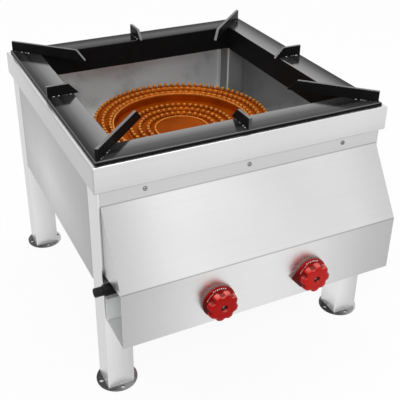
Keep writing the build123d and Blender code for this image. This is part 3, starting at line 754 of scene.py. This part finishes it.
def arm_welds():
    """Short welds along both sides of the foot of each of the eight arms, broken off unevenly."""
    mesh = bmesh.new()
    rng = random.Random(7)
    flank = ARM_HALF + 0.0001
    foot = Vector((0, 0, SUPPORT_TOP + 0.0002)) + SHIFT
    for k in range(8):
        turn = radians(45 * k)
        ahead, aside = Vector((cos(turn), sin(turn), 0)), Vector((-sin(turn), cos(turn), 0))
        for side in (-1, 1):
            for start in LONG_ARM_WELDS if k % 2 else SHORT_ARM_WELDS:
                near = start + rng.uniform(-0.002, 0.002)
                far = near + rng.uniform(0.001, 0.006)
                out = foot + side * (flank + rng.uniform(0.0, 0.0012)) * aside
                bead(mesh, near * ahead + out, far * ahead + out, rng.uniform(0.0008, 0.0017), rng)
    finish_piece("arm_welds", mesh, weld_metal(), "pan_support")


# A round-head screw, in metres.
HEAD_RADIUS, HEAD_HEIGHT = 0.0045, 0.0028
HEAD_RINGS, HEAD_SIDES = 9, 48
CROSS_ARM, CROSS_WIDTH, CROSS_DEPTH = 0.0026, 0.0008, 0.0012
SHANK_RADIUS, SHANK_LENGTH = 0.0025, 0.014

# The screws of the front panel, as x, z and the thickness of what each one holds.
FLANGE_SCREWS = [(x, 0.438, 0.0015) for x in (-0.206, 0.0, 0.206)]
BRACKET_SCREWS = [(x, z, 0.003) for x in (-0.184, 0.04) for z in (0.245, 0.275)]


def cross_depth(across, up):
    """Depth of a cross recess at one point of a screw's head; its walls slope."""
    beside, along = sorted((abs(across), abs(up)))
    side = max(0.0, min(1.0, (CROSS_WIDTH - beside) / (0.4 * CROSS_WIDTH)))
    end = max(0.0, min(1.0, (CROSS_ARM - along) / (0.3 * CROSS_ARM)))
    return CROSS_DEPTH * side * end


def screw_piece(mesh, x, y, z):
    """Round-head screw with a cross recess, its head towards -Y and its shank behind."""
    seat = Vector((x, y, z)) + SHIFT

    def ring(radius, depth, crossed):
        points = []
        for k in range(HEAD_SIDES):
            angle = 2 * pi * k / HEAD_SIDES
            across, up = radius * cos(angle), radius * sin(angle)
            dip = cross_depth(across, up) if crossed else 0.0
            points.append(seat + Vector((across, depth + dip, up)))
        return ring_of(mesh, points)

    rises = [pi / 2 * k / HEAD_RINGS for k in range(HEAD_RINGS)]
    head = [ring(HEAD_RADIUS * cos(rise), -HEAD_HEIGHT * sin(rise), True) for rise in rises]
    middle = mesh.verts.new(seat + Vector((0, CROSS_DEPTH - HEAD_HEIGHT, 0)))
    near = ring(SHANK_RADIUS, 0.0, False)
    far = ring(SHANK_RADIUS, SHANK_LENGTH, False)
    for a, b in zip(head, head[1:]):
        band_of_faces(mesh, a, b)
    for k in range(HEAD_SIDES):
        mesh.faces.new((head[-1][k], head[-1][(k + 1) % HEAD_SIDES], middle))
    band_of_faces(mesh, near, head[0])
    band_of_faces(mesh, far, near)
    mesh.faces.new(far)


def front_screws():
    """The seven screws of the front panel, drawn with their recesses."""
    mesh = bmesh.new()
    for x, z, held in FLANGE_SCREWS + BRACKET_SCREWS:
        screw_piece(mesh, x, -LEG_OUT - held, z)
    bmesh.ops.recalc_face_normals(mesh, faces=mesh.faces)
    piece = finish_piece("front_screws", mesh, look_of("panel_screws"), "range_body")
    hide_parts("panel_screws")


def pieces():
    marks = white_print()
    for hand in HANDS:
        fluted_knob(hand)
        knob_marks(hand, marks)
    arm_welds()
    front_screws()


# -------------------------------------------------------------------- stage

def light_share(tree):
    """1 for rays from the camera and for mirrored and refracted rays."""
    path = tree.nodes.new("ShaderNodeLightPath")
    total = path.outputs["Is Camera Ray"]
    for name in ("Is Glossy Ray", "Is Transmission Ray"):
        add = tree.nodes.new("ShaderNodeMath")
        add.operation = "MAXIMUM"
        tree.links.new(total, add.inputs[0])
        tree.links.new(path.outputs[name], add.inputs[1])
        total = add.outputs["Value"]
    return total


def mixed_shader(tree, share, a, b):
    """b where the share is 1 and a where it is 0."""
    made = tree.nodes.new("ShaderNodeMixShader")
    tree.links.new(share, made.inputs["Fac"])
    tree.links.new(a, made.inputs[1])
    tree.links.new(b, made.inputs[2])
    return made.outputs["Shader"]


def beside_feet(g):
    """0 under the four foot discs and 1 elsewhere, so that their holes stay in shadow."""
    across = g.maths("SUBTRACT", g.absolute(g.along("X")), LEG_MIDDLE)
    back = g.maths("SUBTRACT", g.absolute(g.along("Y")), LEG_MIDDLE)
    disc_radius = corners("foot_front_right")[1].x - LEG_MIDDLE
    return g.above(g.diagonal(across, back), disc_radius - 0.002, 0.0005)


def pale_floor():
    """Wide floor that shows as white and keeps the object's shadow."""
    bpy.ops.mesh.primitive_plane_add(size=14, location=(0, 0, -0.0005))
    floor = bpy.context.object
    floor.name = "floor"
    g = Graph("floor_look")
    g.set(Base_Color=g.vary(g.noise(3.0, 4.0), 0.85, 0.88), Roughness=0.9)
    white = g.node("Emission", Strength=1.0)
    share = g.maths("MULTIPLY", light_share(g.tree), g.maths("MULTIPLY", 0.92, beside_feet(g)))
    surface = mixed_shader(g.tree, share, g.bsdf.outputs["BSDF"], white.outputs["Emission"])
    g.tree.links.new(surface, g.tree.nodes["Material Output"].inputs["Surface"])
    floor.data.materials.append(g.material)


def background(tree, colour, strength):
    made = tree.nodes.new("ShaderNodeBackground")
    made.inputs["Color"].default_value = colour
    made.inputs["Strength"].default_value = strength
    return made.outputs["Background"]


def white_world():
    """White for the camera and for reflections, and a little dimmer as the soft light on the object."""
    world = bpy.data.worlds.new("studio")
    scene.world = world
    world.use_nodes = True
    tree = world.node_tree
    tree.nodes.clear()
    soft = background(tree, (0.98, 0.99, 1.0, 1), 0.8)
    white = background(tree, grey(1.0), 1.0)
    out = tree.nodes.new("ShaderNodeOutputWorld")
    tree.links.new(mixed_shader(tree, light_share(tree), soft, white), out.inputs["Surface"])


def area_light(name, place, target, size, power):
    """Round soft lamp that faces its target; both places are in the part's frame."""
    data = bpy.data.lights.new(name, "AREA")
    data.shape = "DISK"
    data.size = size
    data.energy = power
    lamp = bpy.data.objects.new(name, data)
    scene.collection.objects.link(lamp)
    lamp.location = place
    lamp.rotation_euler = (Vector(target) - Vector(place)).to_track_quat("-Z", "Y").to_euler()


def lights():
    area_light("key", (-1.2, -1.8, 2.4), (0, 0, 0.35), 1.2, 22)
    area_light("top", (0.3, 0.6, 2.8), (0, 0, 0.4), 2.0, 16)


def camera():
    """The photograph's own viewpoint, solved from the body's edges."""
    place = Vector((-0.60653, -1.31082, 1.08716)) + SHIFT
    azimuth, elevation, roll = radians(-25.826), radians(28.651), radians(0.514)
    back = Vector((sin(azimuth) * cos(elevation), -cos(azimuth) * cos(elevation), sin(elevation)))
    level = Vector((cos(azimuth), sin(azimuth), 0))
    upright = back.cross(level)
    right = cos(roll) * level + sin(roll) * upright
    up = cos(roll) * upright - sin(roll) * level
    data = bpy.data.cameras.new("photo_view")
    eye = bpy.data.objects.new("photo_view", data)
    scene.collection.objects.link(eye)
    turn = Matrix((right, up, back)).transposed()
    eye.matrix_world = Matrix.Translation(place) @ turn.to_4x4()
    data.sensor_width = 36.0
    data.lens = 66.31
    data.shift_x = 0.01693
    data.shift_y = -0.09662
    data.clip_start = 0.05
    scene.camera = eye


pieces()
pale_floor()
white_world()
lights()
camera()
scene.view_settings.view_transform = "Standard"
